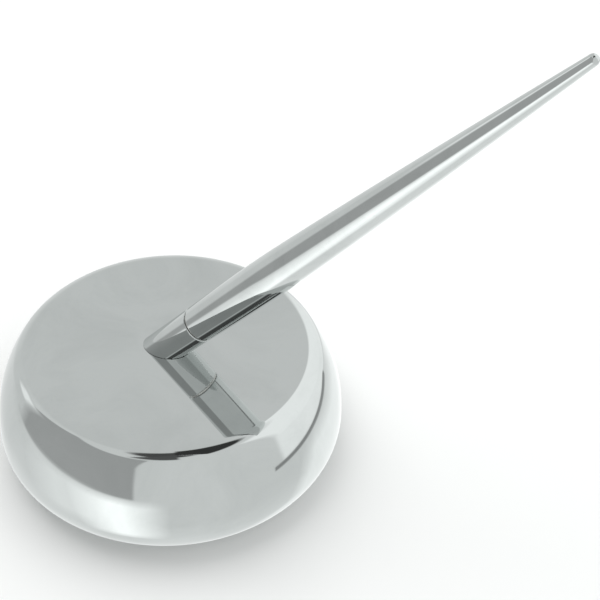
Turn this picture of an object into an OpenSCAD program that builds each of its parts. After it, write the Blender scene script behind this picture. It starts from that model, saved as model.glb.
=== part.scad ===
// Desk pen set: a weighted round base, a leaning pen holder that swivels on it, and a tapered ballpoint pen.
// The origin is the centre of the base on the desk. +Z is up, and the pen leans towards +X.

/* [Base] */
// Diameter of the base at its widest
base_d = 90; // [84:1:110]
// Height of the flat top above the desk
base_h = 30; // [27:0.5:40]
// Diameter of the flat top
top_d = 70; // [60:0.5:74]
// Radius of the shoulder round the flat top
shoulder_r = 5.5; // [3:0.1:7]
// Height of the base's widest line above the desk
belt_h = 9; // [7:0.5:12]
// Wall of the shell
shell_wall = 1.6; // [1:0.1:2.4]

/* [Underside] */
// Thickness of the felt pad
pad_t = 1; // [0.8:0.1:2]
// Thickness of the bottom plate
plate_t = 1.5; // [1:0.1:2]
// Width of the flat lip under the shell
lip_w = 3; // [1:0.1:4]
// Diameter of the weight
weight_d = 60; // [50:1:64]
// Diameter of the well in the weight
well_d = 24; // [16:1:28]
// Depth of solid weight over the well
web_t = 6; // [4:0.5:8]
// Diameter of the circle that the plate screws stand on
screw_pcd = 44; // [40:1:48]
// Diameter of a plate screw
screw_d = 3; // [2.5:0.5:4]
// Length of a plate screw
screw_len = 8; // [6:1:10]

/* [Swivel] */
// Diameter of the pivot stud
stud_d = 3; // [2.5:0.1:3]
// Depth of the stud in the holder's foot
stud_in = 2.4; // [2:0.1:2.8]
// Distance from the pivot back to the middle of the holder's foot
foot_back = 0.8; // [0.8:0.1:1.4]
// Gap between the holder's foot and the top of the base
foot_gap = 0.1; // [0.05:0.05:0.3]
// Thickness of the washer under the foot
foot_washer_t = 0.4; // [0.3:0.1:0.6]
// Diameter of the bush's flange
flange_d = 6.2; // [5.6:0.1:6.4]
// Thickness of the bush's flange
flange_t = 0.8; // [0.5:0.1:1]
// Wall of the bush
bush_wall = 1.1; // [0.8:0.1:1.2]
// Thickness of the nut on the bush
bush_nut_t = 2.6; // [2:0.1:4]
// Thickness of the thrust washer
thrust_t = 0.5; // [0.3:0.1:1]
// Free height of the disc spring
disc_h = 0.9; // [0.7:0.1:1.2]
// Thickness of the disc spring
disc_t = 0.3; // [0.2:0.05:0.4]
// Height of the lock nut
lock_nut_t = 4; // [3:0.1:5]

/* [Holder] */
// Angle of the pen above the desk
lean = 48.5; // [44:0.5:55]
// Length of the holder along its axis, from the top of the base
holder_len = 14; // [13.5:0.5:20]
// Diameter of the holder at its foot
foot_d = 9.2; // [8.6:0.1:10]
// Diameter of the holder at its mouth
mouth_d = 9.6; // [9:0.1:10.2]
// Bore of the sleeve, which takes the liner
sleeve_bore = 6; // [5.8:0.1:6.2]
// Wall of the liner
liner_wall = 0.5; // [0.4:0.05:0.6]

/* [Pen] */
// Length of the barrel
barrel_len = 124.5; // [105:0.5:150]
// Greatest diameter of the barrel
belly_d = 10.2; // [9.6:0.1:11]
// Distance from the barrel's mouth to its greatest diameter
belly_at = 27; // [20:1:40]
// Diameter of the barrel at its tail
tail_d = 2.6; // [2.2:0.1:4]
// Bore that takes the thread bush
barrel_mouth_bore = 6.2; // [6:0.1:6.4]
// Bore that takes the refill
barrel_bore = 4.2; // [4:0.1:4.6]
// Length of the thread bush
thread_len = 8; // [6:0.5:10]
// Thickness of the nose's collar
collar_t = 0.5; // [0.4:0.1:1]
// Length of the nose in the holder
nose_len = 7; // [6.5:0.5:8]
// Length of the nose's cone
nose_cone = 2.5; // [2:0.5:4]
// Diameter of the nose at its front end
nose_end_d = 2.8; // [2.6:0.1:3]

/* [Refill] */
// Diameter of the refill
refill_d = 2.35; // [2.2:0.05:2.4]
// Length of the refill's tube
refill_len = 56; // [50:1:64]
// Wall of the refill's tube
refill_wall = 0.25; // [0.2:0.05:0.3]
// Diameter of the writing ball
ball_d = 0.7; // [0.5:0.1:1]
// How far the tip stands out of the nose
tip_out = 1.8; // [1.4:0.1:2]
// Length of ink in the tube
ink_len = 44; // [5:1:46]
// Number of turns of the refill spring
spring_turns = 6; // [4:1:9]
// Length of the refill spring
spring_len = 8; // [6:0.5:12]
// Wire of the refill spring
spring_wire = 0.35; // [0.3:0.05:0.45]

/* [Clearances] */
// Radial gap of a part that is pressed, screwed or glued in
seat_gap = 0.02; // [0.01:0.01:0.04]
// Radial gap of a part that turns or slides in another
run_gap = 0.05; // [0.02:0.01:0.08]

/* [Hidden] */
$fn = 96;
eps = 0.01;

// Base: the shoulder's arc runs into a large arc down to the widest line, and a third arc turns under it
base_r = base_d / 2;
top_r = top_d / 2;
shoulder_z = base_h - shoulder_r;
inwards = base_r - top_r;
fall = shoulder_z - belt_h;
side_r = (inwards * inwards + fall * fall - shoulder_r * shoulder_r) / (2 * (inwards - shoulder_r));
join_rise = fall / (side_r - shoulder_r);
turn_r = belt_h - pad_t;
arc_cross = 0.02;
lip_r = base_r - turn_r - lip_w;
plate_top = pad_t + plate_t;
ceiling = base_h - shell_wall;
web_z = ceiling - web_t;

// Swivel stack, from the top of the base down
bush_bore = stud_d + 2 * run_gap;
bush_d = bush_bore + 2 * bush_wall;
bush_nut_z = web_z - bush_nut_t;
bush_end = bush_nut_z - 0.6;
thrust_z = bush_end - foot_gap - thrust_t;
disc_z = thrust_z - disc_h;
lock_nut_z = disc_z - lock_nut_t;
stud_end = lock_nut_z - 1;
foot_z = base_h + foot_gap;
small_washer_d = foot_d - 1.6;
wide_washer_d = bush_d + 1.8;

// Along the pen: zero is where the holder's axis meets the top of the base
socket_d = sleeve_bore - 2 * liner_wall;
spigot_d = socket_d - 2 * run_gap;
nose_front = holder_len - nose_len;
tip_front = nose_front - tip_out;
socket_end = tip_front - 0.7;
collar_z = holder_len + 0.1;
barrel_z = collar_z + collar_t;
refill_front = nose_front + 2;
refill_top = refill_front + refill_len;
refill_bore = refill_d - 2 * refill_wall;
tip_body = 3;
tip_shank = 4;
neck_d = refill_d - 0.55;
plug_head = 1.2;
plug_in = 3;
spring_z = refill_top + plug_head;
bore_end = spring_z + spring_len;
thread_d = barrel_mouth_bore - 1.2;
ring_wire = 0.5;
ring_z = holder_len - 3;

// Places its children on the pen's axis, with the pen's own +Z pointing at the tail
module on_pen_axis() {
  translate([-foot_back, 0, base_h]) rotate([0, 90 - lean, 0]) children();
}

module tube(z, h, d, bore) {
  translate([0, 0, z]) difference() {
    cylinder(h = h, d = d);
    translate([0, 0, -1]) cylinder(h = h + 2, d = bore);
  }
}

module hex_nut(z, h, flats, bore) {
  translate([0, 0, z]) difference() {
    cylinder(h = h, d = flats / cos(30), $fn = 6);
    translate([0, 0, -1]) cylinder(h = h + 2, d = bore);
  }
}

// Half section of the base, drawn in from its outside by the inset. The shoulder stands proud by arc_cross,
// so that its arc crosses the side's arc instead of only touching it
module base_section(inset) {
  join_z = shoulder_z + (shoulder_r - inset) * join_rise;
  intersection() {
    translate([top_r + arc_cross, shoulder_z]) circle(r = shoulder_r - inset);
    translate([top_r + arc_cross, shoulder_z]) square(shoulder_r);
  }
  translate([0, belt_h]) square([top_r + arc_cross, base_h - inset - belt_h]);
  intersection() {
    translate([base_r - side_r, belt_h]) circle(r = side_r - inset);
    translate([0, belt_h]) square([base_r, join_z - belt_h]);
  }
  intersection() {
    translate([base_r - turn_r, belt_h]) circle(r = turn_r - inset);
    translate([base_r - turn_r, 0]) square([turn_r, belt_h]);
  }
  translate([0, pad_t + inset]) square([base_r - turn_r, belt_h - pad_t - inset]);
}

module base_shell() {
  color("gainsboro") difference() {
    rotate_extrude() difference() {
      base_section(0);
      base_section(shell_wall);
      square([lip_r, plate_top + shell_wall]);
    }
    cylinder(h = base_h + 1, d = bush_d + 2 * seat_gap);
    translate([0, 0, base_h - flange_t]) cylinder(h = flange_t + 1, d = flange_d + 2 * seat_gap);
  }
}

module at_screws() {
  for (turn = [60:120:300]) {
    rotate([0, 0, turn]) translate([screw_pcd / 2, 0, pad_t]) children();
  }
}

module screw_outline(grow) {
  cylinder(h = screw_d / 2 + grow, d1 = 2 * screw_d + 2 * grow, d2 = screw_d + 2 * grow);
  cylinder(h = screw_len + grow, d = screw_d + 2 * grow);
}

module ballast_weight() {
  color("dimgray") difference() {
    translate([0, 0, plate_top]) cylinder(h = ceiling - plate_top, d = weight_d);
    translate([0, 0, plate_top - 1]) cylinder(h = web_z - plate_top + 1, d = well_d);
    cylinder(h = base_h, d = bush_d + 2 * seat_gap);
    at_screws() screw_outline(seat_gap);
  }
}

module bottom_plate() {
  color("darkgray") difference() {
    translate([0, 0, pad_t]) cylinder(h = plate_t, r = lip_r - seat_gap);
    at_screws() screw_outline(seat_gap);
  }
}

module plate_screws() {
  slot_w = screw_d / 5;
  color("silver") at_screws() difference() {
    screw_outline(0);
    for (turn = [0, 90]) {
      rotate([0, 0, turn]) cube([screw_d, slot_w, screw_d / 2], center = true);
    }
  }
}

module felt_pad() {
  color("darkslategray") cylinder(h = pad_t, r = lip_r - 1);
}

module pivot_bush() {
  color("goldenrod") difference() {
    union() {
      translate([0, 0, base_h - flange_t]) cylinder(h = flange_t, d = flange_d);
      translate([0, 0, bush_end]) cylinder(h = base_h - bush_end - eps, d = bush_d);
    }
    cylinder(h = base_h + 1, d = bush_bore);
  }
}

module bush_nut() {
  color("goldenrod") hex_nut(bush_nut_z, bush_nut_t, bush_d + 3, bush_d + 2 * seat_gap);
}

module holder_sleeve() {
  color("gainsboro") difference() {
    on_pen_axis() translate([0, 0, -foot_d]) {
      cylinder(h = holder_len + foot_d, d1 = foot_d, d2 = mouth_d);
    }
    translate([-foot_d * 2, -foot_d, foot_z - 2 * foot_d]) cube([foot_d * 4, foot_d * 2, foot_d * 2]);
    on_pen_axis() translate([0, 0, socket_end - liner_wall]) cylinder(h = holder_len, d = sleeve_bore);
    translate([0, 0, base_h]) cylinder(h = stud_in + seat_gap, d = stud_d + 2 * seat_gap);
    translate([0, 0, base_h]) cylinder(h = foot_washer_t, d = small_washer_d + 2 * seat_gap);
  }
}

module holder_liner() {
  color("dimgray") on_pen_axis() difference() {
    translate([0, 0, socket_end - liner_wall]) {
      cylinder(h = holder_len - 0.3 - socket_end + liner_wall, d = sleeve_bore - 2 * seat_gap);
    }
    translate([0, 0, socket_end]) cylinder(h = holder_len, d = socket_d);
  }
}

module pivot_stud() {
  color("silver") translate([0, 0, stud_end]) cylinder(h = base_h + stud_in - stud_end, d = stud_d);
}

module foot_washer() {
  color("whitesmoke") {
    tube(base_h + foot_gap / 2, foot_washer_t - foot_gap / 2, small_washer_d, stud_d + 2 * seat_gap);
  }
}

module thrust_washer() {
  color("silver") tube(thrust_z, thrust_t, wide_washer_d, stud_d + 2 * seat_gap);
}

module disc_spring() {
  inner = stud_d / 2 + seat_gap;
  outer = wide_washer_d / 2;
  rise = disc_h - disc_t;
  color("slategray") translate([0, 0, disc_z]) rotate_extrude() polygon([
    [inner, rise],
    [outer, 0],
    [outer, disc_t],
    [inner, disc_h]
  ]);
}

module lock_nut() {
  color("silver") hex_nut(lock_nut_z, lock_nut_t, stud_d + 2.5, stud_d + 2 * seat_gap);
}

// Radius of the barrel at a distance from its mouth: it swells to the belly, then tapers to the tail
function barrel_r(s) =
  s < belly_at
    ? mouth_d / 2 + (belly_d - mouth_d) / 2 * sin(90 * s / belly_at)
    : belly_d / 2 - (belly_d - tail_d) / 2 * pow((s - belly_at) / (barrel_len - tail_d / 2 - belly_at), 1.25);

module pen_barrel() {
  round_z = barrel_len - tail_d / 2;
  swell = [for (i = [0:7]) belly_at * i / 8];
  taper = [for (i = [0:12]) belly_at + (round_z - belly_at) * i / 12];
  side = [for (s = concat(swell, taper)) [barrel_r(s), s]];
  tail = [for (a = [15:15:90]) [tail_d / 2 * cos(a), round_z + tail_d / 2 * sin(a)]];
  color("gainsboro") on_pen_axis() difference() {
    translate([0, 0, barrel_z]) rotate_extrude() polygon(concat([[0, 0]], side, tail));
    translate([0, 0, barrel_z - 1]) cylinder(h = thread_len + 1.5, d = barrel_mouth_bore);
    translate([0, 0, barrel_z]) cylinder(h = bore_end - barrel_z, d = barrel_bore);
  }
}

module thread_bush() {
  color("goldenrod") on_pen_axis() {
    tube(barrel_z + 0.5, thread_len, barrel_mouth_bore - 2 * seat_gap, thread_d);
  }
}

module pen_nose() {
  color("silver") on_pen_axis() difference() {
    union() {
      translate([0, 0, nose_front]) cylinder(h = nose_cone, d1 = nose_end_d, d2 = spigot_d);
      translate([0, 0, nose_front + nose_cone]) {
        cylinder(h = collar_z - nose_front - nose_cone, d = spigot_d);
      }
      translate([0, 0, collar_z]) cylinder(h = collar_t, d = mouth_d - 0.6);
      translate([0, 0, barrel_z]) cylinder(h = thread_len, d = thread_d - 2 * seat_gap);
    }
    translate([0, 0, refill_front]) cylinder(h = holder_len + thread_len, d = refill_d + 2 * run_gap);
    translate([0, 0, nose_front - 1]) cylinder(h = 4, d = neck_d + 2 * run_gap);
    tube(ring_z - ring_wire / 2, ring_wire, spigot_d + 1, spigot_d - 2 * ring_wire + 2 * seat_gap);
  }
}

module nose_o_ring() {
  color("black") on_pen_axis() translate([0, 0, ring_z]) rotate_extrude() {
    translate([spigot_d / 2 + 2 * seat_gap - ring_wire / 2, 0]) circle(d = ring_wire - 2 * seat_gap, $fn = 32);
  }
}

module refill_tube() {
  color("silver") on_pen_axis() {
    tube(refill_front + tip_body, refill_len - tip_body, refill_d, refill_bore);
  }
}

module refill_tip() {
  ball_z = tip_front + ball_d / 2;
  color("goldenrod") on_pen_axis() difference() {
    union() {
      translate([0, 0, ball_z]) {
        cylinder(h = refill_front - ball_z, d1 = ball_d + 0.3, d2 = neck_d);
      }
      translate([0, 0, refill_front]) cylinder(h = tip_body, d = refill_d);
      translate([0, 0, refill_front + tip_body]) cylinder(h = tip_shank, d = refill_bore - 2 * seat_gap);
    }
    translate([0, 0, ball_z]) sphere(d = ball_d + 2 * seat_gap);
    cylinder(h = refill_front + tip_body + tip_shank + 1, d = ball_d * 0.6);
  }
}

module writing_ball() {
  color("slategray") on_pen_axis() translate([0, 0, tip_front + ball_d / 2]) sphere(d = ball_d);
}

module refill_ink() {
  color("midnightblue") on_pen_axis() translate([0, 0, refill_front + tip_body + tip_shank]) {
    cylinder(h = ink_len, d = refill_bore - 2 * seat_gap);
  }
}

module refill_plug() {
  color("white") on_pen_axis() difference() {
    union() {
      translate([0, 0, refill_top]) cylinder(h = plug_head, d = refill_d);
      translate([0, 0, refill_top - plug_in]) cylinder(h = plug_in, d = refill_bore - 2 * seat_gap);
    }
    translate([0, 0, refill_top - plug_in - 1]) cylinder(h = plug_head + plug_in + 2, d = refill_d / 4);
  }
}

// A round wire wound on a cylinder
module refill_spring() {
  sides = 6;
  per_turn = 14;
  rings = spring_turns * per_turn;
  coil_r = refill_d / 2 - 0.1;
  wire_r = spring_wire / 2;
  low = spring_z + wire_r + seat_gap;
  rise = spring_len - spring_wire - 2 * seat_gap;
  points = [
    for (i = [0:rings]) for (j = [0:sides - 1])
      let (turn = 360 * i / per_turn, r = coil_r + wire_r * cos(360 * j / sides))
        [r * cos(turn), r * sin(turn), low + rise * i / rings + wire_r * sin(360 * j / sides)]
  ];
  walls = [
    for (i = [0:rings - 1]) for (j = [0:sides - 1])
      let (k = (j + 1) % sides) [i * sides + j, (i + 1) * sides + j, (i + 1) * sides + k, i * sides + k]
  ];
  first_end = [for (j = [0:sides - 1]) j];
  last_end = [for (j = [sides - 1:-1:0]) rings * sides + j];
  color("silver") on_pen_axis() polyhedron(points, concat(walls, [first_end, last_end]));
}

base_shell();
ballast_weight();
bottom_plate();
plate_screws();
felt_pad();
pivot_bush();
bush_nut();
holder_sleeve();
holder_liner();
pivot_stud();
foot_washer();
thrust_washer();
disc_spring();
lock_nut();
pen_barrel();
thread_bush();
pen_nose();
nose_o_ring();
refill_tube();
refill_tip();
writing_ball();
refill_ink();
refill_plug();
refill_spring();
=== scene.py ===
import math

import bpy
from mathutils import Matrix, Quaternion, Vector


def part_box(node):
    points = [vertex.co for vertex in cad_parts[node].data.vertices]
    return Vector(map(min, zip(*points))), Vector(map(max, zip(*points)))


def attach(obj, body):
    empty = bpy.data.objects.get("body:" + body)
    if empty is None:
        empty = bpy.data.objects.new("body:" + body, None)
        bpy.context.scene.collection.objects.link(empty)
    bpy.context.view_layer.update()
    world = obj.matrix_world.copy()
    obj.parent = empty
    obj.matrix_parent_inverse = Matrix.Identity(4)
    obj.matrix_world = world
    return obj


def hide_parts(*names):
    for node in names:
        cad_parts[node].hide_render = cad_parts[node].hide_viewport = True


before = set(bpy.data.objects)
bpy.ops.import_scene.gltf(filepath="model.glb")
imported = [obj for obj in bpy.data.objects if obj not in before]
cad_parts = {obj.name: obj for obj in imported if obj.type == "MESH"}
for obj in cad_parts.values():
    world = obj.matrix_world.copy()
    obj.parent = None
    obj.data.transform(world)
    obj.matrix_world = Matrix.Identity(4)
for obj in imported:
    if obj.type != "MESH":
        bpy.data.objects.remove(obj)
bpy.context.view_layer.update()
mm = 0.001
print("stage: frame loaded")


def clearSelection():
    if bpy.context.object and bpy.context.object.mode != "OBJECT":
        bpy.ops.object.mode_set(mode="OBJECT")
    bpy.ops.object.select_all(action="DESELECT")


def pick(piece):
    clearSelection()
    piece.select_set(True)
    bpy.context.view_layer.objects.active = piece


def nameIt(piece, name):
    piece.name = name
    piece.data.name = name
    return piece


def applyPlace(piece):
    pick(piece)
    bpy.ops.object.transform_apply(location=True, rotation=True, scale=True)


def smooth(piece, angle=30):
    pick(piece)
    bpy.ops.object.shade_smooth_by_angle(angle=math.radians(angle))


def tidyMesh(piece):
    pick(piece)
    bpy.ops.object.mode_set(mode="EDIT")
    bpy.ops.mesh.select_all(action="SELECT")
    bpy.ops.mesh.remove_doubles(threshold=0.0005 * mm)
    bpy.ops.mesh.normals_make_consistent(inside=False)
    bpy.ops.object.mode_set(mode="OBJECT")


def cutWith(piece, tool, operation="DIFFERENCE"):
    pick(piece)
    bpy.ops.object.modifier_add(type="BOOLEAN")
    cut = piece.modifiers[-1]
    cut.operation = operation
    cut.solver = "EXACT"
    cut.object = tool
    bpy.ops.object.modifier_apply(modifier=cut.name)
    bpy.data.objects.remove(tool)
    return piece


def drawOutline(name, outline):
    # a single point is drawn out along the outline, which is (radius, height) in millimetres
    clearSelection()
    radius, height = outline[0]
    bpy.ops.mesh.primitive_plane_add(size=mm, location=(radius * mm, 0, height * mm))
    piece = nameIt(bpy.context.object, name)
    bpy.ops.object.transform_apply(location=True, rotation=True, scale=True)
    bpy.ops.object.mode_set(mode="EDIT")
    bpy.ops.mesh.select_mode(type="VERT")
    bpy.ops.mesh.select_all(action="SELECT")
    bpy.ops.mesh.merge(type="CENTER")
    for (r0, h0), (r1, h1) in zip(outline, outline[1:]):
        step = ((r1 - r0) * mm, 0, (h1 - h0) * mm)
        bpy.ops.mesh.extrude_region_move(TRANSFORM_OT_translate={"value": step})
    return piece


def turnPiece(name, outline, sides=96, angle=30):
    # spins the outline round the upright axis
    piece = drawOutline(name, outline)
    bpy.ops.mesh.select_all(action="SELECT")
    bpy.ops.mesh.spin(steps=sides, angle=2 * math.pi, center=(0, 0, 0), axis=(0, 0, 1))
    bpy.ops.object.mode_set(mode="OBJECT")
    tidyMesh(piece)
    smooth(piece, angle)
    return piece


def arc(centre, radius, first, last, steps):
    # points of an arc in the outline's plane, angles in degrees
    points = []
    for i in range(steps + 1):
        turn = math.radians(first + (last - first) * i / steps)
        points.append((centre[0] + radius * math.cos(turn), centre[1] + radius * math.sin(turn)))
    return points


def ring(inner, outer, low, high, edge):
    # closed outline of a ring with rounded edges
    return (
        arc((outer - edge, low + edge), edge, -90, 0, 4)
        + arc((outer - edge, high - edge), edge, 0, 90, 4)
        + arc((inner + edge, high - edge), edge, 90, 180, 4)
        + arc((inner + edge, low + edge), edge, 180, 270, 4)
        + [(outer - edge, low)]
    )


def cutThread(piece, pitch, depth, low, high, fade=1e-6, core=0):
    # moves the wall outside the core in along a helix, between two heights in millimetres
    for vertex in piece.data.vertices:
        x, y, z = vertex.co / mm
        radius = math.hypot(x, y)
        if not low <= z <= high or radius < core:
            continue
        along = (z / pitch - math.atan2(y, x) / (2 * math.pi)) % 1
        tooth = min(1, 1.3 * abs(2 * along - 1)) * depth
        tooth *= min(1, (z - low) / fade, (high - z) / fade)
        vertex.co.x *= (radius - tooth) / radius
        vertex.co.y *= (radius - tooth) / radius


def levels(low, high, step):
    count = max(1, round((high - low) / step))
    return [low + (high - low) * i / count for i in range(count + 1)]


def placeOnPen(piece):
    # from the upright axis to the pen's leaning axis
    piece.rotation_euler = (0, math.radians(90 - penAxis["lean"]), 0)
    piece.location = (-penAxis["footBack"] * mm, 0, penAxis["baseTop"] * mm)
    applyPlace(piece)
    return piece


def finishPiece(piece, material, body, slot, *nodes):
    piece.data.materials.clear()
    piece.data.materials.append(material)
    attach(piece, body)
    if nodes:
        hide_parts(*nodes)
    return piece


camera = {
    "azimuth": 25.0,        # round the base, from straight in front
    "elevation": 46.64,
    "distance": 0.3555,
    "aim": (0.0154, 0.0616, 0.0),
    "roll": 2.04,
    "lens": 78,
    "sensor": 36,
}


def setCamera():
    around, above = math.radians(camera["azimuth"]), math.radians(camera["elevation"])
    flat = camera["distance"] * math.cos(above)
    place = Vector((flat * math.sin(around), -flat * math.cos(around), camera["distance"] * math.sin(above)))
    clearSelection()
    bpy.ops.object.camera_add(location=place)
    view = bpy.context.object
    view.name = "camera"
    view.data.lens = camera["lens"]
    view.data.sensor_width = camera["sensor"]
    view.data.clip_start, view.data.clip_end = 0.01, 50
    view.rotation_mode = "QUATERNION"
    look = (Vector(camera["aim"]) - place).to_track_quat("-Z", "Y")
    view.rotation_quaternion = look @ Quaternion((0, 0, 1), math.radians(camera["roll"]))
    bpy.context.scene.camera = view


setCamera()
print("stage: camera")


def addNode(tree, kind, place=(0, 0), **values):
    node = tree.nodes.new(kind)
    node.location = place
    for key, value in values.items():
        setattr(node, key, value)
    return node


def setInputs(node, **values):
    for key, value in values.items():
        node.inputs[key].default_value = value
    return node


def newGroup(name, inputs, outputs):
    group = bpy.data.node_groups.new(name, "ShaderNodeTree")
    for title, kind, value in inputs:
        socket = group.interface.new_socket(title, in_out="INPUT", socket_type=kind)
        if value is not None:
            socket.default_value = value
    for title, kind in outputs:
        group.interface.new_socket(title, in_out="OUTPUT", socket_type=kind)
    start = addNode(group, "NodeGroupInput", (-900, 0))
    end = addNode(group, "NodeGroupOutput", (900, 0))
    return group, start, end


def mathNode(tree, operation, first, second=None, clamp=False):
    node = addNode(tree, "ShaderNodeMath", operation=operation, use_clamp=clamp)
    for socket, value in zip(node.inputs, (first, second)):
        if value is None:
            continue
        if isinstance(value, (int, float)):
            socket.default_value = value
        else:
            tree.links.new(value, socket)
    return node.outputs[0]


def handlingMarks():
    # smudges from fingers, with hair scratches over them
    group, start, end = newGroup(
        "handlingMarks",
        [("Vector", "NodeSocketVector", None), ("Smudge Scale", "NodeSocketFloat", 60.0),
         ("Scratch Scale", "NodeSocketFloat", 500.0), ("Scratch Amount", "NodeSocketFloat", 0.4)],
        [("Mask", "NodeSocketFloat")],
    )
    link = group.links.new
    smudge = addNode(group, "ShaderNodeTexNoise", (-600, 200))
    setInputs(smudge, Detail=6.0, Roughness=0.62, Distortion=0.6)
    link(start.outputs["Vector"], smudge.inputs["Vector"])
    link(start.outputs["Smudge Scale"], smudge.inputs["Scale"])
    wipe = addNode(group, "ShaderNodeMapRange", (-380, 200))
    setInputs(wipe, **{"From Min": 0.42, "From Max": 0.72})
    link(smudge.outputs["Fac"], wipe.inputs["Value"])
    cells = []
    for stretch, turn in (((1, 14, 1), 0.5), ((16, 1, 2), 1.3)):
        lay = addNode(group, "ShaderNodeMapping", (-700, -200))
        setInputs(lay, Scale=stretch, Rotation=(0.3, 0.2, turn))
        link(start.outputs["Vector"], lay.inputs["Vector"])
        hair = addNode(group, "ShaderNodeTexNoise", (-500, -200))
        setInputs(hair, Detail=2.0, Roughness=0.5)
        link(lay.outputs["Vector"], hair.inputs["Vector"])
        link(start.outputs["Scratch Scale"], hair.inputs["Scale"])
        thin = addNode(group, "ShaderNodeMapRange", (-300, -200))
        setInputs(thin, **{"From Min": 0.66, "From Max": 0.74})
        link(hair.outputs["Fac"], thin.inputs["Value"])
        cells.append(thin.outputs["Result"])
    hairs = mathNode(group, "MAXIMUM", cells[0], cells[1])
    hairs = mathNode(group, "MULTIPLY", hairs, start.outputs["Scratch Amount"])
    link(mathNode(group, "MAXIMUM", wipe.outputs["Result"], hairs), end.inputs["Mask"])
    return group


def toolLines():
    # fine lines left by a lathe, square to the piece's own Z, with rings on its end faces
    group, start, end = newGroup(
        "toolLines",
        [("Vector", "NodeSocketVector", None), ("Scale", "NodeSocketFloat", 2000.0)],
        [("Height", "NodeSocketFloat"), ("Mask", "NodeSocketFloat")],
    )
    link = group.links.new
    heights = []
    for kind, way in (("BANDS", "bands_direction"), ("RINGS", "rings_direction")):
        wave = addNode(group, "ShaderNodeTexWave", (-500, 0), wave_type=kind)
        setattr(wave, way, "Z")
        setInputs(wave, Distortion=1.5, Detail=2.0)
        wave.inputs["Detail Scale"].default_value = 3.0
        link(start.outputs["Vector"], wave.inputs["Vector"])
        link(start.outputs["Scale"], wave.inputs["Scale"])
        heights.append(wave.outputs["Fac"])
    both = mathNode(group, "MULTIPLY", heights[0], heights[1])
    link(both, end.inputs["Height"])
    patch = addNode(group, "ShaderNodeTexNoise", (-500, -300))
    setInputs(patch, Scale=900.0, Detail=3.0)
    link(start.outputs["Vector"], patch.inputs["Vector"])
    link(mathNode(group, "MULTIPLY", patch.outputs["Fac"], heights[0]), end.inputs["Mask"])
    return group


def grains():
    # grain of a casting, a moulding or felt: coarse and fine noise together
    group, start, end = newGroup(
        "grains",
        [("Vector", "NodeSocketVector", None), ("Coarse", "NodeSocketFloat", 800.0),
         ("Fine", "NodeSocketFloat", 4000.0)],
        [("Height", "NodeSocketFloat"), ("Mask", "NodeSocketFloat")],
    )
    link = group.links.new
    values = []
    for title, detail in (("Coarse", 5.0), ("Fine", 3.0)):
        noise = addNode(group, "ShaderNodeTexNoise", (-500, 0))
        setInputs(noise, Detail=detail, Roughness=0.6)
        link(start.outputs["Vector"], noise.inputs["Vector"])
        link(start.outputs[title], noise.inputs["Scale"])
        values.append(noise.outputs["Fac"])
    link(mathNode(group, "ADD", mathNode(group, "MULTIPLY", values[0], 0.65),
                  mathNode(group, "MULTIPLY", values[1], 0.35)), end.inputs["Height"])
    link(values[0], end.inputs["Mask"])
    return group


marksGroup, linesGroup, grainsGroup = handlingMarks(), toolLines(), grains()


def startMaterial(name, metallic, **constants):
    material = bpy.data.materials.new(name)
    material.use_nodes = True
    tree = material.node_tree
    shader = tree.nodes["Principled BSDF"]
    shader.inputs["Metallic"].default_value = metallic
    for key, value in constants.items():
        shader.inputs[key.replace("_", " ")].default_value = value
    place = addNode(tree, "ShaderNodeTexCoord", (-1200, 0))
    return material, tree, shader, place.outputs["Object"]


def layAlongPen(tree, vector):
    # turns the pattern so that its Z runs along the pen
    lay = addNode(tree, "ShaderNodeMapping", (-1000, 0), vector_type="TEXTURE")
    setInputs(lay, Rotation=(0, math.radians(90 - penAxis["lean"]), 0),
              Location=(-penAxis["footBack"] * mm, 0, penAxis["baseTop"] * mm))
    tree.links.new(vector, lay.inputs["Vector"])
    return lay.outputs["Vector"]


def blendColors(tree, mask, first, second):
    ramp = addNode(tree, "ShaderNodeValToRGB", (-300, 200))
    ramp.color_ramp.elements[0].color = (*first, 1)
    ramp.color_ramp.elements[1].color = (*second, 1)
    tree.links.new(mask, ramp.inputs["Fac"])
    return ramp.outputs["Color"]


def spread(tree, mask, low, high):
    # a mask from 0 to 1 becomes a value from low to high
    reach = addNode(tree, "ShaderNodeMapRange", (-300, -100))
    setInputs(reach, **{"To Min": low, "To Max": high})
    tree.links.new(mask, reach.inputs["Value"])
    return reach.outputs["Result"]


def colorAndShine(tree, shader, colorMask, first, second, shineMask, roughness):
    tree.links.new(blendColors(tree, colorMask, first, second), shader.inputs["Base Color"])
    tree.links.new(spread(tree, shineMask, *roughness), shader.inputs["Roughness"])


def addBump(tree, shader, height, strength, distance):
    bump = addNode(tree, "ShaderNodeBump", (-200, -400))
    setInputs(bump, Strength=strength, Distance=distance)
    tree.links.new(height, bump.inputs["Height"])
    tree.links.new(bump.outputs["Normal"], shader.inputs["Normal"])


def useGroup(tree, group, vector, **values):
    node = addNode(tree, "ShaderNodeGroup", (-700, 0), node_tree=group)
    tree.links.new(vector, node.inputs["Vector"])
    for key, value in values.items():
        node.inputs[key.replace("_", " ")].default_value = value
    return node


chrome = {
    "clean": (0.585, 0.605, 0.60),
    "dull": (0.53, 0.55, 0.545),
    "roughness": (0.028, 0.085),   # where clean, where smudged
    "ripple": 0.012,
    "rippleScale": 90.0,
}


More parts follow.
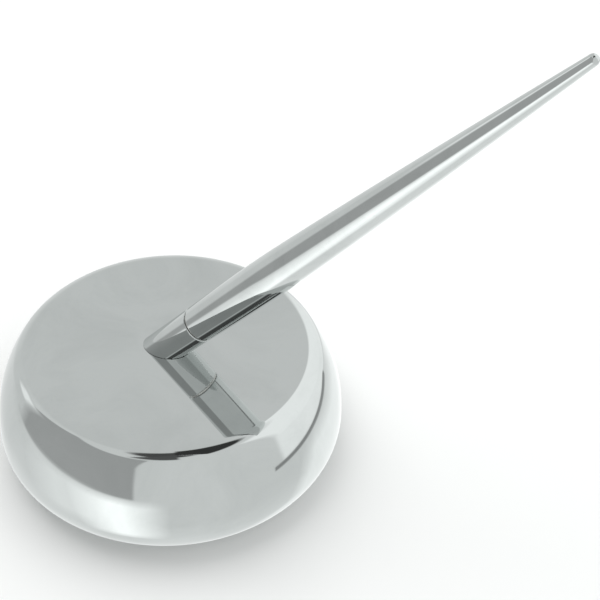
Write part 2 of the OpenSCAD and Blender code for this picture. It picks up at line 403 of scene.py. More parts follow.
def makeChrome(name, alongPen, smudgeScale):
    material, tree, shader, vector = startMaterial(name, 1.0)
    if alongPen:
        vector = layAlongPen(tree, vector)
    marks = useGroup(tree, marksGroup, vector, Smudge_Scale=smudgeScale, Scratch_Scale=420.0, Scratch_Amount=0.5)
    mask = marks.outputs["Mask"]
    colorAndShine(tree, shader, mask, chrome["clean"], chrome["dull"], mask, chrome["roughness"])
    ripple = addNode(tree, "ShaderNodeTexNoise", (-600, -400))
    setInputs(ripple, Scale=chrome["rippleScale"], Detail=1.0)
    tree.links.new(vector, ripple.inputs["Vector"])
    addBump(tree, shader, ripple.outputs["Fac"], chrome["ripple"], 0.4 * mm)
    return material


def makeTurned(name, finish, alongPen):
    # lathe-turned or drawn metal
    material, tree, shader, vector = startMaterial(name, 1.0)
    if alongPen:
        vector = layAlongPen(tree, vector)
    lines = useGroup(tree, linesGroup, vector, Scale=finish["lines"])
    marks = useGroup(tree, marksGroup, vector, Smudge_Scale=finish["smudge"], Scratch_Scale=1500.0)
    mask = marks.outputs["Mask"]
    mixed = mathNode(tree, "MAXIMUM", mask, lines.outputs["Mask"])
    colorAndShine(tree, shader, mask, finish["clean"], finish["dull"], mixed, finish["roughness"])
    addBump(tree, shader, lines.outputs["Height"], finish["bump"], 0.02 * mm)
    return material


def makeGrained(name, finish, metallic=0.0, **constants):
    # castings, mouldings, rubber and felt
    material, tree, shader, vector = startMaterial(name, metallic, **constants)
    grain = useGroup(tree, grainsGroup, vector, Coarse=finish["coarse"], Fine=finish["fine"])
    colorAndShine(tree, shader, grain.outputs["Mask"], finish["dark"], finish["light"],
                  grain.outputs["Height"], finish["roughness"])
    addBump(tree, shader, grain.outputs["Height"], finish["bump"], finish["depth"] * mm)
    return material


penAxis = {"lean": 48.5, "footBack": 0.8, "baseTop": 30.0}

brass = {"clean": (0.80, 0.60, 0.28), "dull": (0.52, 0.36, 0.15), "roughness": (0.18, 0.42),
         "lines": 2600.0, "smudge": 260.0, "bump": 0.35}
zinc = {"clean": (0.66, 0.68, 0.71), "dull": (0.45, 0.46, 0.47), "roughness": (0.24, 0.48),
        "lines": 1800.0, "smudge": 180.0, "bump": 0.25}
spring = {"clean": (0.42, 0.43, 0.45), "dull": (0.20, 0.19, 0.20), "roughness": (0.22, 0.45),
          "lines": 3000.0, "smudge": 320.0, "bump": 0.2}
nickel = {"clean": (0.72, 0.71, 0.69), "dull": (0.55, 0.54, 0.52), "roughness": (0.14, 0.32),
          "lines": 3200.0, "smudge": 220.0, "bump": 0.3}
drawnTube = {"clean": (0.70, 0.71, 0.72), "dull": (0.52, 0.53, 0.54), "roughness": (0.20, 0.40),
             "lines": 1400.0, "smudge": 200.0, "bump": 0.2}
carbide = {"clean": (0.46, 0.47, 0.49), "dull": (0.30, 0.31, 0.33), "roughness": (0.06, 0.16),
           "lines": 6000.0, "smudge": 2500.0, "bump": 0.05}
castIron = {"dark": (0.055, 0.055, 0.06), "light": (0.16, 0.155, 0.15), "roughness": (0.55, 0.85),
            "coarse": 700.0, "fine": 3500.0, "bump": 0.7, "depth": 0.25}
felt = {"dark": (0.012, 0.020, 0.017), "light": (0.075, 0.105, 0.090), "roughness": (0.88, 1.0),
        "coarse": 1300.0, "fine": 6500.0, "bump": 0.9, "depth": 0.2}
moulded = {"dark": (0.018, 0.018, 0.020), "light": (0.040, 0.040, 0.043), "roughness": (0.34, 0.52),
           "coarse": 1500.0, "fine": 8000.0, "bump": 0.2, "depth": 0.03}
slippery = {"dark": (0.70, 0.70, 0.67), "light": (0.88, 0.88, 0.85), "roughness": (0.30, 0.46),
            "coarse": 900.0, "fine": 6000.0, "bump": 0.15, "depth": 0.02}
rubber = {"dark": (0.010, 0.010, 0.010), "light": (0.032, 0.032, 0.032), "roughness": (0.50, 0.72),
          "coarse": 2200.0, "fine": 9000.0, "bump": 0.25, "depth": 0.02}
inkPaste = {"dark": (0.004, 0.008, 0.05), "light": (0.010, 0.020, 0.13), "roughness": (0.08, 0.22),
            "coarse": 700.0, "fine": 3000.0, "bump": 0.1, "depth": 0.02}

baseChrome = makeChrome("baseChrome", False, 45.0)
penChrome = makeChrome("penChrome", True, 90.0)
turnedBrass = makeTurned("turnedBrass", brass, False)
penBrass = makeTurned("penBrass", brass, True)
zincSteel = makeTurned("zincSteel", zinc, False)
springSteel = makeTurned("springSteel", spring, False)
penSpringSteel = makeTurned("penSpringSteel", spring, True)
satinNickel = makeTurned("satinNickel", nickel, True)
refillMetal = makeTurned("refillMetal", drawnTube, True)
carbideBall = makeTurned("carbideBall", carbide, True)
greyCasting = makeGrained("greyCasting", castIron, 0.6)
greenFelt = makeGrained("greenFelt", felt, 0.0, Sheen_Weight=0.5, Sheen_Roughness=0.5)
darkMoulding = makeGrained("darkMoulding", moulded)
whiteMoulding = makeGrained("whiteMoulding", slippery)
blackRubber = makeGrained("blackRubber", rubber)
blueInk = makeGrained("blueInk", inkPaste, 0.0, Coat_Weight=0.6, Coat_Roughness=0.05)
print("stage: finishes")


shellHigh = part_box("base_shell")[1]
shell = {
    "radius": shellHigh.x / mm,
    "top": shellHigh.z / mm,
    "topRadius": 35.0,
    "shoulder": 5.5,
    "belt": 9.0,          # height of the widest line
    "bottom": 1.0,
    "lip": 3.0,
    "wall": 1.6,
    "flangeSeat": 0.8,    # depth of the bush's seat in the top
    "bore": 2.67,
    "sides": 288,
}


def sideArcs(inset, steps):
    # shoulder, side and turn-under, from the flat top outwards and down
    inwards = shell["radius"] - shell["topRadius"]
    shoulderHeight = shell["top"] - shell["shoulder"]
    fall = shoulderHeight - shell["belt"]
    sideRadius = (inwards ** 2 + fall ** 2 - shell["shoulder"] ** 2) / (2 * (inwards - shell["shoulder"]))
    join = math.degrees(math.asin(fall / (sideRadius - shell["shoulder"])))
    turnRadius = shell["belt"] - shell["bottom"]
    return (
        arc((shell["topRadius"], shoulderHeight), shell["shoulder"] - inset, 90, join, steps)
        + arc((shell["radius"] - sideRadius, shell["belt"]), sideRadius - inset, join, 0, steps)[1:]
        + arc((shell["radius"] - turnRadius, shell["belt"]), turnRadius - inset, 0, -90, steps)[1:]
    )


def makeShell():
    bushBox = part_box("pivot_bush")[1]
    flange, bore = bushBox.x / mm + 0.02, shell["bore"]
    top, bottom, wall = shell["top"], shell["bottom"], shell["wall"]
    seat, lipInner = top - shell["flangeSeat"], shell["radius"] - shell["belt"] + bottom - shell["lip"]
    outer = sideArcs(0, 26)
    inner = sideArcs(wall, 10)
    outline = (
        [(flange, seat), (flange, top), (20, top), (shell["topRadius"] - 0.3, top)]
        + outer
        + [(lipInner + 0.2, bottom), (lipInner, bottom + 0.2), (lipInner, bottom + wall)]
        + inner[::-1]
        + [(bore, top - wall), (bore, seat), (flange, seat)]
    )
    return turnPiece("baseShell", outline, shell["sides"])


finishPiece(makeShell(), baseChrome, "base", "polished_chrome", "base_shell")

pad = {"radius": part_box("felt_pad")[1].x / mm, "thickness": 1.0, "edge": 0.35, "rings": 26, "fuzz": 0.03}


def makePad():
    radius, thick, edge = pad["radius"], pad["thickness"], pad["edge"]
    flat = [radius * i / pad["rings"] for i in range(pad["rings"])]
    flat = [r for r in flat if r < radius - edge - 0.3]
    outline = (
        [(r, thick) for r in flat]
        + arc((radius - edge, thick - edge), edge, 90, 0, 5)
        + arc((radius - edge, edge), edge, 0, -90, 5)
        + [(r, 0) for r in flat[::-1]]
    )
    piece = turnPiece("feltPad", outline, 192, 60)
    for vertex in piece.data.vertices:
        # the cut edge and the underside are a little uneven, always inwards
        angle = math.atan2(vertex.co.y, vertex.co.x)
        far = math.hypot(vertex.co.x, vertex.co.y)
        wave = 0.5 + 0.25 * math.sin(37 * angle) + 0.25 * math.sin(61 * angle + 1)
        if far > (radius - edge - 0.1) * mm:
            shrink = 1 - pad["fuzz"] * 3 * wave * mm / far
            vertex.co.x *= shrink
            vertex.co.y *= shrink
        elif vertex.co.z < 0.1 * mm and far > 1 * mm:
            vertex.co.z += pad["fuzz"] * mm * (0.5 + 0.5 * math.sin(900 * far + 9 * angle))
    return piece


finishPiece(makePad(), greenFelt, "base", "felt", "felt_pad")

plateScrew = {"size": 3.0, "length": 8.0, "circle": 44.0, "bottom": 1.0, "pitch": 0.5, "slot": 0.6}


def makeScrew():
    half, low = plateScrew["size"] / 2, plateScrew["bottom"]
    high = low + plateScrew["length"]
    shank = [(half - 0.02, z) for z in levels(low + half + 0.1, high - 0.5, plateScrew["pitch"] / 8)]
    head = [(0, low), (2 * half - 0.15, low), (2 * half - 0.02, low + 0.08)]
    outline = head + shank + [(half - 0.4, high), (0, high)]
    screw = turnPiece("plateScrew", outline, 40)
    cutThread(screw, plateScrew["pitch"], 0.28, low + half + 0.3, high - 0.4, 0.5)
    for turn in (0, 90):
        clearSelection()
        bpy.ops.mesh.primitive_cube_add(size=mm, location=(0, 0, low * mm))
        blade = bpy.context.object
        blade.scale = (2 * half, plateScrew["slot"], half)
        blade.rotation_euler.z = math.radians(turn)
        applyPlace(blade)
        bpy.ops.object.mode_set(mode="EDIT")
        bpy.ops.mesh.select_all(action="SELECT")
        bpy.ops.mesh.bevel(offset=0.12 * mm, segments=2, affect="EDGES")
        bpy.ops.object.mode_set(mode="OBJECT")
        cutWith(screw, blade)
    smooth(screw, 25)
    return screw


def placeScrews():
    first = makeScrew()
    for number, turn in enumerate((60, 180, 300), 1):
        pick(first)
        bpy.ops.object.duplicate(linked=False)
        copy = nameIt(bpy.context.object, f"plateScrew_{number}")
        angle = math.radians(turn)
        copy.location = (plateScrew["circle"] / 2 * mm * math.cos(angle),
                         plateScrew["circle"] / 2 * mm * math.sin(angle), 0)
        copy.rotation_euler.z = angle * 1.7
        applyPlace(copy)
        finishPiece(copy, zincSteel, "base", "zinc_steel", "plate_screws")
    bpy.data.objects.remove(first)


placeScrews()

bush = {"bore": 1.55, "barrel": 2.65, "flange": 3.1, "flangeThick": 0.8, "pitch": 0.5, "thread": 0.25}


def makeBush():
    low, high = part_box("pivot_bush")[0].z / mm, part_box("pivot_bush")[1].z / mm
    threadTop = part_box("bush_nut")[1].z / mm + 1.2
    wall = [(bush["barrel"], z) for z in levels(low + 0.3, threadTop, bush["pitch"] / 8)]
    seat = high - bush["flangeThick"]
    outline = (
        [(bush["bore"], high - 0.15), (bush["bore"], low + 0.15), (bush["bore"] + 0.15, low),
         (bush["barrel"] - 0.3, low)]
        + wall
        + [(bush["barrel"], seat), (bush["flange"], seat), (bush["flange"], high - 0.15),
           (bush["flange"] - 0.15, high), (bush["bore"] + 0.15, high), (bush["bore"], high - 0.15)]
    )
    piece = turnPiece("pivotBush", outline, 64)
    cutThread(piece, bush["pitch"], bush["thread"], low + 0.35, threadTop - 0.05, core=bush["barrel"] - 0.05)
    return piece


finishPiece(makeBush(), turnedBrass, "base", "brass", "pivot_bush")


def makeNut(name, node, flats, bore, chamfer):
    # a hexagon with its corners turned off at both ends
    low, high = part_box(node)[0].z / mm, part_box(node)[1].z / mm
    clearSelection()
    bpy.ops.mesh.primitive_cylinder_add(vertices=6, radius=flats / math.cos(math.pi / 6) / 2 * mm,
                                        depth=(high - low) * mm, location=(0, 0, (low + high) / 2 * mm),
                                        rotation=(0, 0, math.pi / 6))
    nut = nameIt(bpy.context.object, name)
    applyPlace(nut)
    reach, flat = flats / 2 + 1.2, flats / 2 - 0.15
    cone = turnPiece("nutCone", [(0, low - 0.01), (flat, low - 0.01), (reach, low + chamfer),
                                 (reach, high - chamfer), (flat, high + 0.01), (0, high + 0.01)], 96)
    cutWith(nut, cone, "INTERSECT")
    wide = bore + 0.3
    hole = turnPiece("nutHole", [(0, low - 1), (wide, low - 1), (wide, low), (bore, low + 0.3),
                                 (bore, high - 0.3), (wide, high), (wide, high + 1), (0, high + 1)], 64)
    cutWith(nut, hole)
    smooth(nut, 25)
    return nut


finishPiece(makeNut("bushNut", "bush_nut", 8.3, 2.67, 0.75), turnedBrass, "base", "brass", "bush_nut")
print("stage: base")


sleeve = {"footRadius": 4.6, "mouthRadius": 4.8, "length": 14.0, "bore": 3.0, "boreEnd": 4.0,
          "rim": 0.22, "footGap": 0.1, "sides": 160}


def makeSleeve():
    foot, mouth, length = sleeve["footRadius"], sleeve["mouthRadius"], sleeve["length"]
    below = -2 * foot
    slope = (mouth - foot) / (length - below)
    rim = sleeve["rim"]
    wall = [(foot + slope * (z - below), z) for z in levels(below, length - rim, 1.6)]
    outline = (
        [(0, below)]
        + wall
        + arc((mouth - rim, length - rim), rim, 0, 90, 5)
        + [(sleeve["bore"] + 0.15, length), (sleeve["bore"], length - 0.15),
           (sleeve["bore"], sleeve["boreEnd"]), (0, sleeve["boreEnd"])]
    )
    piece = placeOnPen(turnPiece("holderSleeve", outline, sleeve["sides"]))
    pick(piece)
    bpy.ops.object.mode_set(mode="EDIT")
    bpy.ops.mesh.select_all(action="SELECT")
    bpy.ops.mesh.bisect(plane_co=(0, 0, (penAxis["baseTop"] + sleeve["footGap"]) * mm), plane_no=(0, 0, 1),
                        use_fill=True, clear_inner=True)
    bpy.ops.object.mode_set(mode="OBJECT")
    washer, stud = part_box("foot_washer")[1] / mm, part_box("pivot_stud")[1] / mm
    low, play = penAxis["baseTop"] - 1, 0.02
    pocket = turnPiece("footPocket", [
        (0, low), (washer.x + play, low), (washer.x + play, washer.z),
        (stud.x + play, washer.z), (stud.x + play, stud.z + play), (0, stud.z + play),
    ], 64)
    cutWith(piece, pocket)
    smooth(piece, 25)
    return piece


finishPiece(makeSleeve(), penChrome, "holder", "polished_chrome", "holder_sleeve")

liner = {"outer": 2.98, "socket": 2.5, "low": 4.0, "floor": 4.5, "high": 13.7, "chamfer": 0.25}


def makeLiner():
    outer, socket, low, high = liner["outer"], liner["socket"], liner["low"], liner["high"]
    outline = [
        (0, liner["floor"]), (socket, liner["floor"]), (socket, high - liner["chamfer"]),
        (socket + liner["chamfer"], high), (outer - 0.05, high),
        (outer, high - 0.08), (outer, low + 0.2), (outer - 0.2, low), (0, low),
    ]
    return placeOnPen(turnPiece("holderLiner", outline, 80))


finishPiece(makeLiner(), darkMoulding, "holder", "dark_plastic", "holder_liner")

stud = {"radius": 1.5, "pitch": 0.5, "thread": 0.26, "plain": 20.0}
studFit = stud["radius"] + 0.02


def makeStud():
    low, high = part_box("pivot_stud")[0].z / mm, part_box("pivot_stud")[1].z / mm
    radius = stud["radius"]
    wall = [(radius, z) for z in levels(low + 0.35, stud["plain"] - 0.8, stud["pitch"] / 8)]
    wall += [(radius, z) for z in levels(penAxis["baseTop"] + 0.6, high - 0.35, stud["pitch"] / 8)]
    outline = [(0, low), (radius - 0.35, low)] + wall + [(radius - 0.35, high), (0, high)]
    piece = turnPiece("pivotStud", outline, 40)
    cutThread(piece, stud["pitch"], stud["thread"], low + 0.35, stud["plain"] - 0.8, 0.4)
    cutThread(piece, stud["pitch"], stud["thread"], penAxis["baseTop"] + 0.6, high - 0.35, 0.4)
    return piece


finishPiece(makeStud(), zincSteel, "holder", "zinc_steel", "pivot_stud")


def makeWasher(name, node, bore, edge):
    low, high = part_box(node)
    outline = ring(bore, high.x / mm, low.z / mm, high.z / mm, edge)
    return turnPiece(name, outline, 96)


finishPiece(makeWasher("footWasher", "foot_washer", studFit, 0.08),
            whiteMoulding, "holder", "white_plastic", "foot_washer")
finishPiece(makeWasher("thrustWasher", "thrust_washer", studFit, 0.1),
            zincSteel, "holder", "zinc_steel", "thrust_washer")

discSpring = {"inner": studFit, "outer": 3.55, "height": 0.9, "thick": 0.3}


def makeDiscSpring():
    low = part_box("disc_spring")[0].z / mm
    rise = discSpring["height"] - discSpring["thick"]
    inner, outer, thick = discSpring["inner"], discSpring["outer"], discSpring["thick"]
    outline = [
        (inner, low + rise + 0.05), (inner + 0.05, low + rise), (outer - 0.05, low), (outer, low + 0.05),
        (outer, low + thick - 0.05), (outer - 0.05, low + thick), (inner + 0.05, low + rise + thick),
        (inner, low + rise + thick - 0.05), (inner, low + rise + 0.05),
    ]
    return turnPiece("discSpring", outline, 96, 20)


finishPiece(makeDiscSpring(), springSteel, "holder", "spring_steel", "disc_spring")
finishPiece(makeNut("lockNut", "lock_nut", 5.5, studFit, 0.6), zincSteel, "holder", "zinc_steel", "lock_nut")
print("stage: holder")


barrel = {
    "mouth": 14.6,         # along the pen, from the top of the base
    "length": 124.5,
    "mouthRadius": 4.8,
    "bellyRadius": 5.1,
    "bellyAt": 27.0,
    "tailRadius": 1.3,
    "sweep": 1.25,
    "bushBore": 3.1,
    "bushDepth": 8.5,
    "refillBore": 2.1,
    "boreEnd": 74.2,
    "rim": 0.12,
    "sides": 160,
}


def barrelRadius(s):
    swell = barrel["bellyRadius"] - barrel["mouthRadius"]
    if s < barrel["bellyAt"]:
        return barrel["mouthRadius"] + swell * math.sin(math.pi / 2 * s / barrel["bellyAt"])
    taper = barrel["length"] - barrel["tailRadius"] - barrel["bellyAt"]
    return barrel["bellyRadius"] - (barrel["bellyRadius"] - barrel["tailRadius"]) * (
        (s - barrel["bellyAt"]) / taper) ** barrel["sweep"]


def makeBarrel():
    mouth, rim = barrel["mouth"], barrel["rim"]
    roundAt = barrel["length"] - barrel["tailRadius"]
    bushBore, refillBore, bushEnd = barrel["bushBore"], barrel["refillBore"], mouth + barrel["bushDepth"]
    side = [(barrelRadius(s), mouth + s) for s in levels(rim, roundAt, 1.5)]
    outline = (
        [(0, barrel["boreEnd"]), (refillBore, barrel["boreEnd"]), (refillBore, bushEnd), (bushBore, bushEnd),
         (bushBore, mouth + 0.2), (bushBore + 0.2, mouth), (barrel["mouthRadius"] - rim, mouth)]
        + side
        + arc((0, mouth + roundAt), barrel["tailRadius"], 0, 90, 10)[1:-1]
        + [(0, mouth + barrel["length"])]
    )
    return placeOnPen(turnPiece("penBarrel", outline, barrel["sides"]))


finishPiece(makeBarrel(), penChrome, "pen", "polished_chrome", "pen_barrel")

threadBush = {"outer": 3.08, "bore": 2.5, "low": 15.1, "length": 8.0}


def makeThreadBush():
    low, high = threadBush["low"], threadBush["low"] + threadBush["length"]
    bore, outer = threadBush["bore"], threadBush["outer"]
    outline = (
        [(bore + 0.2, low), (outer - 0.1, low), (outer, low + 0.1), (outer, high - 0.1), (outer - 0.1, high),
         (bore + 0.2, high)]
        + [(bore, z) for z in levels(high - 0.25, low + 0.25, 0.4)]
        + [(bore + 0.2, low)]
    )
    return placeOnPen(turnPiece("threadBush", outline, 72))


finishPiece(makeThreadBush(), penBrass, "pen", "brass", "thread_bush")

nose = {
    "front": 7.0, "cone": 2.5, "frontRadius": 1.4, "spigot": 2.45, "collar": 14.1, "collarRadius": 4.5,
    "collarThick": 0.5, "threadLength": 8.0, "threadRadius": 2.48, "pitch": 0.6, "thread": 0.3, "ringAt": 11.0,
    "groove": 0.25, "grooveDepth": 0.48, "edge": 0.12, "neckBore": 0.95, "refillBore": 1.225, "step": 9.0,
}


def makeNose():
    front, frontRadius, spigot, collar = nose["front"], nose["frontRadius"], nose["spigot"], nose["collar"]
    collarRadius, threadRadius, edge = nose["collarRadius"], nose["threadRadius"], nose["edge"]
    threadStart = collar + nose["collarThick"]
    threadEnd = threadStart + nose["threadLength"]
    grooveFloor, grooveLow = spigot - nose["grooveDepth"], nose["ringAt"] - nose["groove"]
    grooveHigh = nose["ringAt"] + nose["groove"]
    thread = levels(threadStart + 0.5, threadEnd - 0.4, nose["pitch"] / 8)
    outline = (
        [(nose["neckBore"], front), (frontRadius - edge, front), (frontRadius, front + edge)]
        + [(frontRadius + (spigot - frontRadius) * t ** 0.9, front + edge + (nose["cone"] - edge) * t)
           for t in (0.2, 0.4, 0.6, 0.8)]
        + [(spigot, front + nose["cone"]), (spigot, grooveLow), (grooveFloor, grooveLow),
           (grooveFloor, grooveHigh), (spigot, grooveHigh), (spigot, collar - 0.25),
           (spigot - 0.1, collar - 0.2), (spigot - 0.1, collar), (collarRadius - 0.08, collar),
           (collarRadius, collar + 0.08), (collarRadius, threadStart - 0.02),
           (threadRadius - 0.3, threadStart - 0.02)]
        + [(threadRadius, z) for z in thread]
        + [(threadRadius - 0.35, threadEnd), (nose["refillBore"], threadEnd),
           (nose["refillBore"], nose["step"]), (nose["neckBore"], nose["step"]), (nose["neckBore"], front)]
    )
    piece = turnPiece("penNose", outline, 80, 25)
    cutThread(piece, nose["pitch"], nose["thread"], thread[0] + 0.1, thread[-1] - 0.1,
              core=nose["threadRadius"] - 0.05)
    return placeOnPen(piece)


finishPiece(makeNose(), satinNickel, "pen", "satin_steel", "pen_nose")

oRing = {"at": 11.0, "middle": 2.24, "wire": 0.23}
finishPiece(
    placeOnPen(turnPiece("noseORing", arc((oRing["middle"], oRing["at"]), oRing["wire"], 0, 360, 20), 96)),
    blackRubber, "pen", "black_rubber", "nose_o_ring",
)

refill = {"front": 9.0, "tipBody": 3.0, "shank": 4.0, "radius": 1.175, "bore": 0.925, "length": 56.0,
          "tipFront": 5.2, "ball": 0.35, "channel": 0.21, "neck": 0.9, "dimple": 0.06}


def makeRefillTube():
    low, high = refill["front"] + refill["tipBody"], refill["front"] + refill["length"]
    radius, bore, edge = refill["radius"], refill["bore"], 0.05
    outline = [(bore + 0.03, low), (radius - edge, low), (radius, low + edge)]
    for crimp in (low + 1.2, low + 2.4, high - 2.0):
        outline += [(radius, crimp - 0.3), (radius - refill["dimple"], crimp - 0.1),
                    (radius - refill["dimple"], crimp + 0.1), (radius, crimp + 0.3)]
    outline += [(radius, high - edge), (radius - edge, high), (bore + 0.03, high),
                (bore, high - edge), (bore, low + edge), (bore + 0.03, low)]
    return placeOnPen(turnPiece("refillTube", outline, 48, 20))


finishPiece(makeRefillTube(), refillMetal, "pen", "refill_metal", "refill_tube")


def makeRefillTip():
    ballAt, shoulder = refill["tipFront"] + refill["ball"], refill["front"]
    body, end = shoulder + refill["tipBody"], shoulder + refill["tipBody"] + refill["shank"]
    radius, neck, shankRadius, channel = refill["radius"], refill["neck"], refill["bore"] - 0.02, refill["channel"]
    outline = (
        [(channel, end), (channel, ballAt + 0.31)]
        + arc((0, ballAt), refill["ball"] + 0.02, 56, 0, 6)
        + [(refill["ball"] + 0.14, ballAt), (0.66, ballAt + 1.2), (0.68, ballAt + 1.3),
           (neck - 0.04, shoulder - 0.3), (neck, shoulder), (radius - 0.08, shoulder), (radius, shoulder + 0.08),
           (radius, body - 0.4), (radius - 0.08, body - 0.3), (radius, body - 0.2), (radius, body),
           (shankRadius, body), (shankRadius, end - 0.15), (shankRadius - 0.15, end), (channel, end)]
    )
    return placeOnPen(turnPiece("refillTip", outline, 48, 25))


finishPiece(makeRefillTip(), penBrass, "pen", "brass", "refill_tip")

plug = {"head": 1.2, "inside": 3.0, "vent": 0.29}


def makePlug():
    top = refill["front"] + refill["length"]
    low, high, fit = top - plug["inside"], top + plug["head"], refill["bore"] - 0.02
    outline = [
        (plug["vent"], low), (fit - 0.15, low), (fit, low + 0.2), (fit, top - 0.6), (fit - 0.05, top - 0.5),
        (fit - 0.05, top), (refill["radius"] - 0.03, top), (refill["radius"], top + 0.05),
        (refill["radius"], high - 0.15), (refill["radius"] - 0.15, high), (plug["vent"] + 0.1, high),
        (plug["vent"], high - 0.1), (plug["vent"], low),
    ]
    return placeOnPen(turnPiece("refillPlug", outline, 48, 25))


finishPiece(makePlug(), whiteMoulding, "pen", "white_plastic", "refill_plug")

inkColumn = {"length": 44.0, "radius": 0.905, "dip": 0.25}


def makeInk():
    low = refill["front"] + refill["tipBody"] + refill["shank"]
    high = low + inkColumn["length"]
    wall, dip = inkColumn["radius"], inkColumn["dip"]
    top = [(wall * t, high - dip * (1 - t * t)) for t in (0, 0.25, 0.5, 0.75, 1)]
    outline = top + [(wall, z) for z in levels(high - 0.5, low, 6)[1:]] + [(0, low)]
    return placeOnPen(turnPiece("refillInk", outline, 40))


finishPiece(makeInk(), blueInk, "pen", "ink", "refill_ink")

coil = {"radius": 1.075, "wire": 0.17, "low": 66.25, "length": 7.9, "turns": 6, "perTurn": 28}


def makeCoilSpring():
    # a round of wire, screwed along the axis
    clearSelection()
    bpy.ops.mesh.primitive_circle_add(vertices=12, radius=coil["wire"] * mm, rotation=(math.pi / 2, 0, 0),
                                      location=(coil["radius"] * mm, 0, 0), fill_type="NGON")
    piece = nameIt(bpy.context.object, "refillSpring")
    applyPlace(piece)
    bpy.ops.object.modifier_add(type="SCREW")
    twist = piece.modifiers[-1]
    twist.axis, twist.steps, twist.render_steps = "Z", coil["perTurn"], coil["perTurn"]
    twist.iterations, twist.use_normal_calculate = coil["turns"], True
    rise = coil["length"] - 2 * coil["wire"]
    twist.screw_offset = rise / coil["turns"] * mm
    bpy.ops.object.modifier_apply(modifier=twist.name)
    for vertex in piece.data.vertices:
        vertex.co.z += (coil["low"] + coil["wire"]) * mm
    return piece


springPiece = makeCoilSpring()
tidyMesh(springPiece)
smooth(springPiece, 50)
finishPiece(placeOnPen(springPiece), penSpringSteel, "pen", "spring_steel", "refill_spring")

carriedOver = {"ballast_weight": greyCasting, "bottom_plate": zincSteel, "writing_ball": carbideBall}
for node, material in carriedOver.items():
    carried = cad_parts[node]
    carried.data.materials.clear()
    carried.data.materials.append(material)
print("stage: pen")


floor = {"size": 8.0, "drop": 0.05, "light": (0.90, 0.90, 0.895), "dark": (0.87, 0.87, 0.865),
         "roughness": (0.75, 0.85), "gloss": 0.1}


def makeFloor():
    clearSelection()
    bpy.ops.mesh.primitive_plane_add(size=floor["size"], location=(0, 0, -floor["drop"] * mm))
    ground = nameIt(bpy.context.object, "floor")
    material, tree, shader, vector = startMaterial("paleFloor", 0.0)
    grain = useGroup(tree, grainsGroup, vector, Coarse=6.0, Fine=40.0)
    colorAndShine(tree, shader, grain.outputs["Mask"], floor["dark"], floor["light"],
                  grain.outputs["Height"], floor["roughness"])
    shader.inputs["Specular IOR Level"].default_value = floor["gloss"]
    ground.data.materials.append(material)
    ground.visible_glossy = False


studio = {
    "tint": (0.98, 1.0, 0.995),
    "front": 0.92,          # the room all round, where no card stands
    "backdrop": 0.97,       # past the floor, as the camera sees it
}

# cards round the desk: where the middle is (azimuth, elevation), half the width and height, and how soft the edge
# is, all in degrees
cards = {
    "behind": {"at": (120, 46), "half": (42, 34), "soft": (16, 16), "tone": 0.83},
    "rightBox": {"at": (48, 27), "half": (46, 35), "soft": (6, 6), "tone": 1.28},
    "rightLow": {"at": (46, -2), "half": (44, 11), "soft": (3, 3), "tone": 1.24},
    "leftWall": {"at": (225, 24), "half": (45, 37), "soft": (2, 2), "tone": 0.52},
    "leftFar": {"at": (172, 10), "half": (16, 25), "soft": (8, 8), "tone": 0.85},
    "leftSpot": {"at": (176, 23), "half": (6, 9), "soft": (5, 5), "tone": 1.25},
    "deskEdge": {"at": (27, -14.5), "half": (32, 1.6), "soft": (1, 1), "tone": 0.36},
    "under": {"at": (0, -90), "half": (200, 44), "soft": (20, 20), "tone": 1.06},
    "rightFloor": {"at": (65, -45), "half": (42, 24), "soft": (14, 14), "tone": 1.30},
    "poolGlow": {"at": (226, -29), "half": (20, 15), "soft": (26, 8), "tone": 1.15},
    "pool": {"at": (259, -34), "half": (17, 18), "soft": (28, 8), "tone": 1.75},
    "ceiling": {"at": (190, 90), "half": (140, 13), "soft": (4, 4), "tone": 0.10},
    "ceilingFront": {"at": (272, 79), "half": (27, 13), "soft": (5, 5), "tone": 0.12},
    "lampGap": {"at": (45, 90), "half": (70, 20), "soft": (3, 3), "tone": 0.05},
}


def cardMask():
    # one where a direction meets the card, nothing outside it
    group, start, end = newGroup(
        "cardMask",
        [("Azimuth", "NodeSocketFloat", 0.0), ("Elevation", "NodeSocketFloat", 0.0),
         ("Middle Azimuth", "NodeSocketFloat", 0.0), ("Middle Elevation", "NodeSocketFloat", 0.0),
         ("Half Width", "NodeSocketFloat", 10.0), ("Half Height", "NodeSocketFloat", 10.0),
         ("Side Softness", "NodeSocketFloat", 1.0), ("Top Softness", "NodeSocketFloat", 1.0)],
        [("Mask", "NodeSocketFloat")],
    )
    ports = start.outputs
    aside = mathNode(group, "SUBTRACT", ports["Azimuth"], ports["Middle Azimuth"])
    wrap = addNode(group, "ShaderNodeMath", operation="WRAP")
    wrap.inputs[1].default_value, wrap.inputs[2].default_value = 180, -180
    group.links.new(aside, wrap.inputs[0])
    aside = mathNode(group, "ABSOLUTE", wrap.outputs[0])
    above = mathNode(group, "SUBTRACT", ports["Elevation"], ports["Middle Elevation"])
    above = mathNode(group, "ABSOLUTE", above)
    sides = []
    for off, half, soft in ((aside, "Half Width", "Side Softness"), (above, "Half Height", "Top Softness")):
        room = mathNode(group, "DIVIDE", mathNode(group, "SUBTRACT", ports[half], off), ports[soft])
        sides.append(mathNode(group, "ADD", room, 0.5, clamp=True))
    group.links.new(mathNode(group, "MULTIPLY", sides[0], sides[1]), end.inputs["Mask"])
    return group


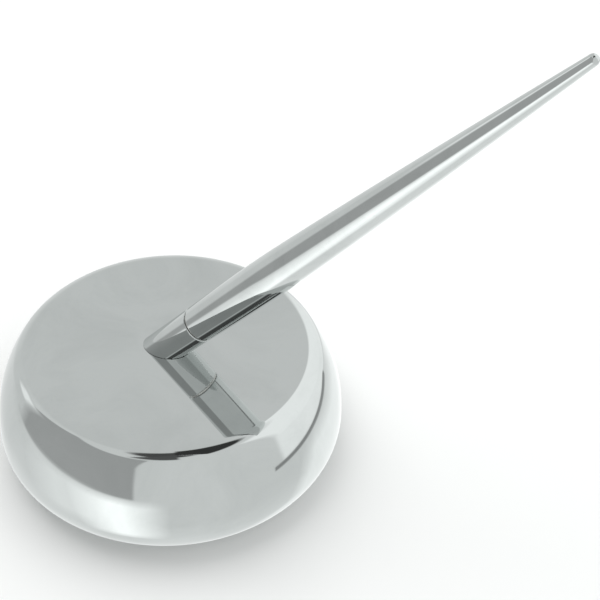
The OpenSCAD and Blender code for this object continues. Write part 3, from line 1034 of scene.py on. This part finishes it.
def makeWorld():
    world = bpy.data.worlds.new("studio")
    bpy.context.scene.world = world
    world.use_nodes = True
    tree = world.node_tree
    tree.nodes.clear()
    link = tree.links.new
    way = addNode(tree, "ShaderNodeTexCoord")
    parts = addNode(tree, "ShaderNodeSeparateXYZ")
    link(way.outputs["Generated"], parts.inputs["Vector"])
    around = mathNode(tree, "ARCTAN2", parts.outputs["Y"], parts.outputs["X"])
    around = mathNode(tree, "DEGREES", around)
    above = mathNode(tree, "DEGREES", mathNode(tree, "ARCSINE", parts.outputs["Z"]))
    group = cardMask()
    tone = None
    for name, card in cards.items():
        mask = addNode(tree, "ShaderNodeGroup", node_tree=group)
        mask.label = name
        link(around, mask.inputs["Azimuth"])
        link(above, mask.inputs["Elevation"])
        setInputs(mask, **{"Middle Azimuth": card["at"][0], "Middle Elevation": card["at"][1],
                           "Half Width": card["half"][0], "Half Height": card["half"][1],
                           "Side Softness": card["soft"][0], "Top Softness": card["soft"][1]})
        blend = addNode(tree, "ShaderNodeMix", data_type="FLOAT")
        link(mask.outputs["Mask"], blend.inputs["Factor"])
        blend.inputs["A"].default_value = studio["front"]
        blend.inputs["B"].default_value = card["tone"]
        if tone:
            link(tone, blend.inputs["A"])
        tone = blend.outputs["Result"]
    room = addNode(tree, "ShaderNodeBackground")
    room.inputs["Color"].default_value = (*studio["tint"], 1)
    link(tone, room.inputs["Strength"])
    plain = addNode(tree, "ShaderNodeBackground")
    plain.inputs["Color"].default_value = (studio["backdrop"], studio["backdrop"], studio["backdrop"], 1)
    rays = addNode(tree, "ShaderNodeLightPath")
    mix = addNode(tree, "ShaderNodeMixShader")
    out = addNode(tree, "ShaderNodeOutputWorld")
    link(rays.outputs["Is Camera Ray"], mix.inputs["Fac"])
    link(room.outputs["Background"], mix.inputs[1])
    link(plain.outputs["Background"], mix.inputs[2])
    link(mix.outputs["Shader"], out.inputs["Surface"])


softBox = {"place": (-0.5, 0.4, 1.3), "size": 1.4, "power": 11.0}


def makeSoftBox():
    # lights the floor and the dull pieces softly; the chrome reflects the cards instead
    clearSelection()
    bpy.ops.object.light_add(type="AREA", location=softBox["place"])
    light = bpy.context.object
    light.name = "softBox"
    light.data.shape = "SQUARE"
    light.data.size = softBox["size"]
    light.data.energy = softBox["power"]
    light.rotation_euler = (-Vector(softBox["place"])).to_track_quat("-Z", "Y").to_euler()
    light.visible_glossy = False


makeFloor()
makeWorld()
makeSoftBox()
bpy.context.scene.view_settings.view_transform = "Standard"
bpy.context.scene.cycles.use_denoising = True
print("stage: floor and lights")
